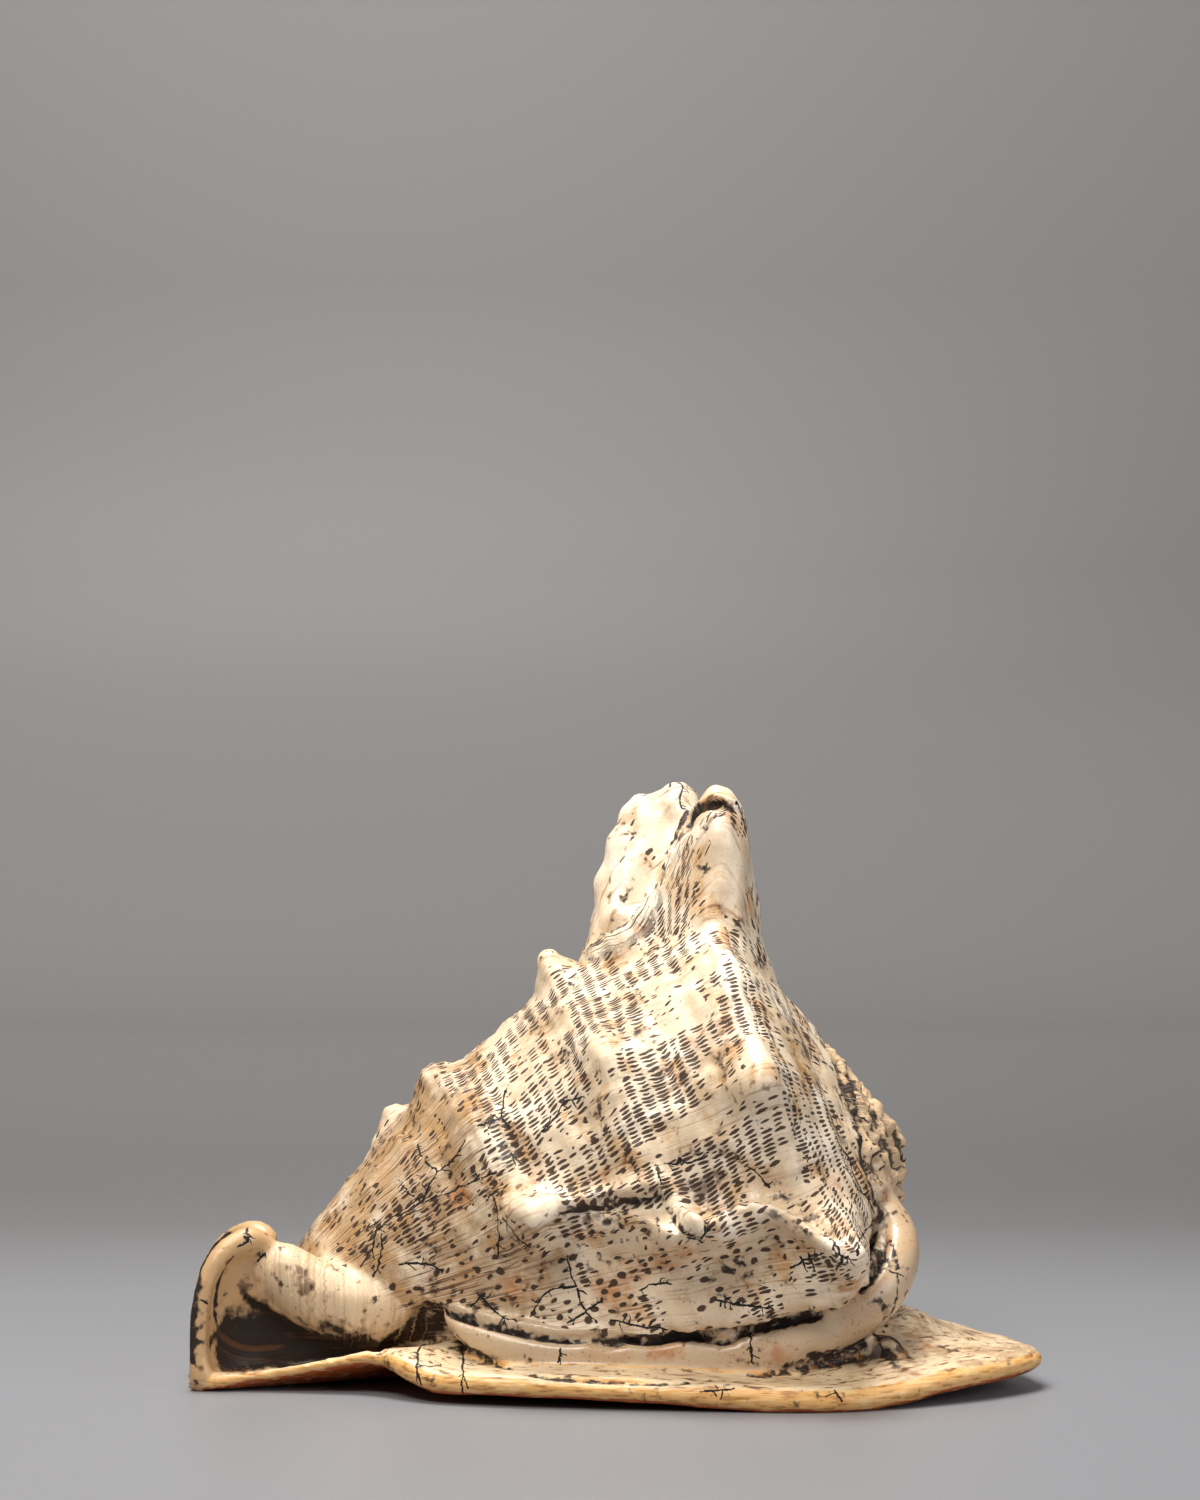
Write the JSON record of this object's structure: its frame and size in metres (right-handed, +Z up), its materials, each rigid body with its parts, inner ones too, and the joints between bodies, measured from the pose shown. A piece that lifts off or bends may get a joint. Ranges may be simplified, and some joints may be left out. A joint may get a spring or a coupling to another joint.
{
  "type": "helmet conch shell",
  "caption": "Large horned sea shell lying on its flat shield, with a spire, ridged shoulder horns, a toothed slit aperture and an upturned canal.",
  "frame": {"origin": "centre of the bounding box, on the surface it rests on", "axes": "+X towards the spire, -X towards the canal, -Y the side with the wide shield, +Y the outer lip, +Z up"},
  "size_m": [0.2707, 0.2039, 0.1914],
  "materials": {
    "shell": "semi-gloss"
  },
  "bodies": {
    "root": {"shell": "shell"}
  },
  "joints": []
}
